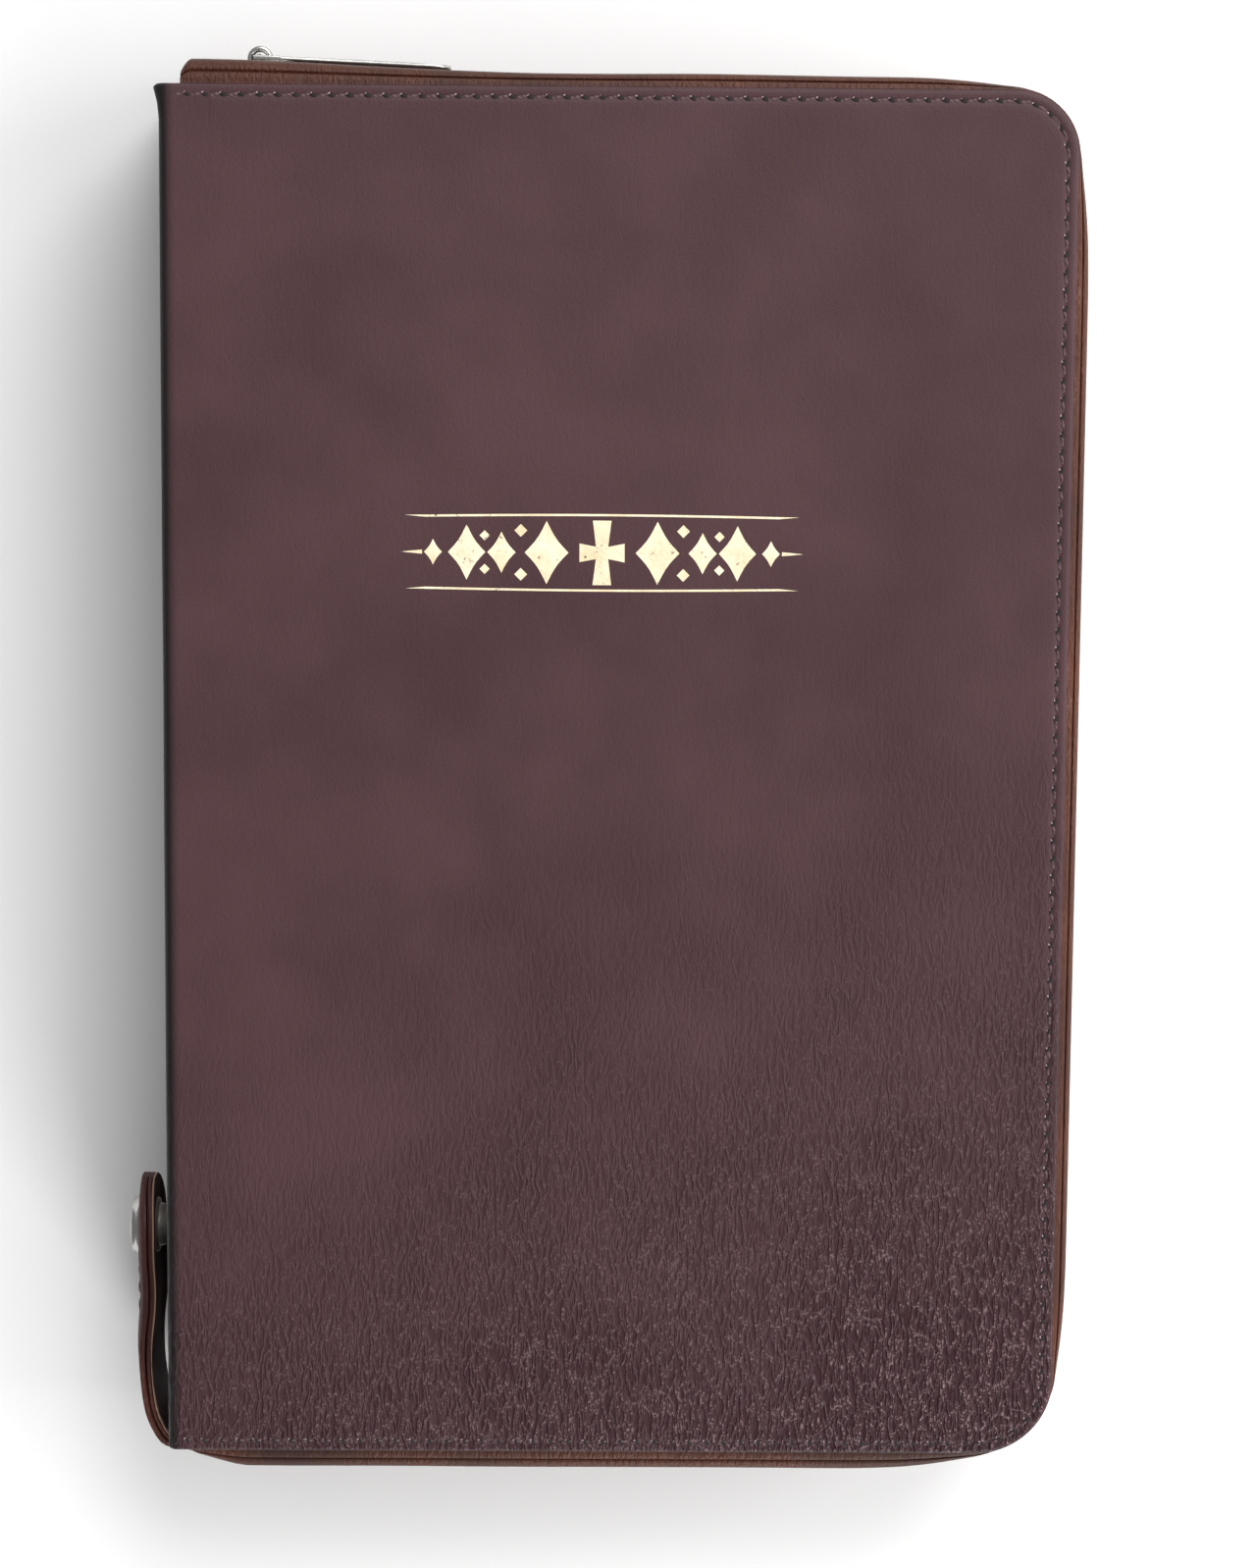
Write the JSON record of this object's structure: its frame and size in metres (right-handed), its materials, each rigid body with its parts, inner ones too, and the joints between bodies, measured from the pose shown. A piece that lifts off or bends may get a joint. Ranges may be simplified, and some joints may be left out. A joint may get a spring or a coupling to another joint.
{
  "type": "zipped leather bible",
  "caption": "Leather-bound book in a zip-round case: hinged covers, folding text block, zip slider with pull, and snap strap on the spine.",
  "frame": {"origin": "centre of the back cover's underside, on the surface that the closed book lies on", "axes": "+X from the spine to the fore edge, +Y from the tail to the head, +Z from the back cover up to the front cover"},
  "size_m": [0.1505, 0.2241, 0.036],
  "materials": {
    "cover_leather": "dark burgundy grained leather, satin",
    "gusset_leather": "warm reddish-brown leather, satin",
    "strap_lining": "tan leather with a raw edge",
    "board": "grey-brown cover board",
    "lining": "smooth dark lining",
    "zip_tape": "woven dark brown tape",
    "zip_teeth": "coiled dark brown nylon",
    "nickel": "polished nickel",
    "pages": "thin cream paper, gilt on the edges",
    "endpaper": "plain cream endpaper",
    "mull": "open-weave cotton cloth",
    "headband": "striped woven band",
    "ribbon": "satin ribbon, dark red",
    "thread": "waxed linen thread"
  },
  "bodies": {
    "back_cover": {"back_cover_leather": "cover_leather", "back_cover_board": "board", "back_cover_lining": "lining", "back_gusset": "gusset_leather", "back_zipper_tape": "zip_tape", "back_zipper_teeth": "zip_teeth", "back_head_end_tab": "gusset_leather", "back_tail_end_tab": "gusset_leather", "back_top_stop": "nickel", "zip_bottom_stop": "nickel"},
    "back_pages": {"back_page_block": "pages", "back_flyleaf": "endpaper", "back_mull": "mull", "back_headband": "headband", "back_tailband": "headband", "ribbon_marker": "ribbon"},
    "front_cover": {"front_cover_leather": "cover_leather", "front_cover_board": "board", "front_cover_lining": "lining", "front_gusset": "gusset_leather", "front_zipper_tape": "zip_tape", "front_zipper_teeth": "zip_teeth", "front_head_end_tab": "gusset_leather", "front_tail_end_tab": "gusset_leather", "front_top_stop": "nickel"},
    "front_pages": {"front_page_block": "pages", "front_flyleaf": "endpaper", "front_mull": "mull", "front_headband": "headband", "front_tailband": "headband"},
    "spine": {"spine_leather": "cover_leather", "spine_stiffener": "board", "spine_lining": "lining", "snap_stud": "nickel", "stud_rivet": "nickel", "strap_anchor": "gusset_leather"},
    "strap": {"strap_outer": "gusset_leather", "strap_lining": "strap_lining", "snap_cap": "nickel", "snap_socket": "nickel"},
    "slider": {"zipper_slider": "nickel"},
    "pull": {"zipper_pull": "nickel"},
    "gutter": {"binding_thread": "thread"},
    "leaf_back": {"leaf_back": "pages"},
    "leaf_front": {"leaf_front": "pages"}
  },
  "joints": [
    {"name": "spine_fold", "type": "hinge", "parent": "back_cover", "child": "spine", "pos_m": [-0.069, 0, 0.0015], "axis": [0, -1, 0], "range_deg": [0, 90]},
    {"name": "front_cover_fold", "type": "hinge", "parent": "spine", "child": "front_cover", "pos_m": [-0.069, 0, 0.0345], "axis": [0, -1, 0], "range_deg": [0, 90.5]},
    {"name": "gutter_rise", "type": "slide", "parent": "spine", "child": "gutter", "axis": [1, 0, 0], "range_m": [0, 0.0132]},
    {"name": "back_pages_turn", "type": "hinge", "parent": "gutter", "child": "back_pages", "pos_m": [-0.0657, 0, 0.018], "axis": [0, -1, 0], "range_deg": [-90.5, 0]},
    {"name": "front_pages_turn", "type": "hinge", "parent": "gutter", "child": "front_pages", "pos_m": [-0.0657, 0, 0.018], "axis": [0, -1, 0], "range_deg": [0, 90.5]},
    {"name": "back_leaf_turn", "type": "hinge", "parent": "gutter", "child": "leaf_back", "pos_m": [-0.0657, 0, 0.018], "axis": [0, -1, 0], "range_deg": [-72.5, 0]},
    {"name": "front_leaf_turn", "type": "hinge", "parent": "gutter", "child": "leaf_front", "pos_m": [-0.0657, 0, 0.018], "axis": [0, -1, 0], "range_deg": [0, 72.5]},
    {"name": "zipper_run", "type": "slide", "parent": "back_cover", "child": "slider", "axis": [1, 0, 0], "range_m": [0, 0.1]},
    {"name": "pull_swing", "type": "hinge", "parent": "slider", "child": "pull", "pos_m": [-0.0563, 0.1124, 0.018], "axis": [0, 0, 1], "range_deg": [0, 180]},
    {"name": "strap_swing", "type": "hinge", "parent": "spine", "child": "strap", "pos_m": [-0.07525, -0.102, 0.018], "axis": [0, 0, 1], "range_deg": [0, 120]}
  ],
  "couplings": [
    {"joint": "front_cover_fold", "follows": "spine_fold", "ratio": 1},
    {"joint": "gutter_rise", "follows": "spine_fold", "m_per_rad": 0.0083397},
    {"joint": "back_pages_turn", "follows": "spine_fold", "ratio": -1},
    {"joint": "front_pages_turn", "follows": "spine_fold", "ratio": 1},
    {"joint": "back_leaf_turn", "follows": "spine_fold", "ratio": -0.8},
    {"joint": "front_leaf_turn", "follows": "spine_fold", "ratio": 0.8}
  ]
}
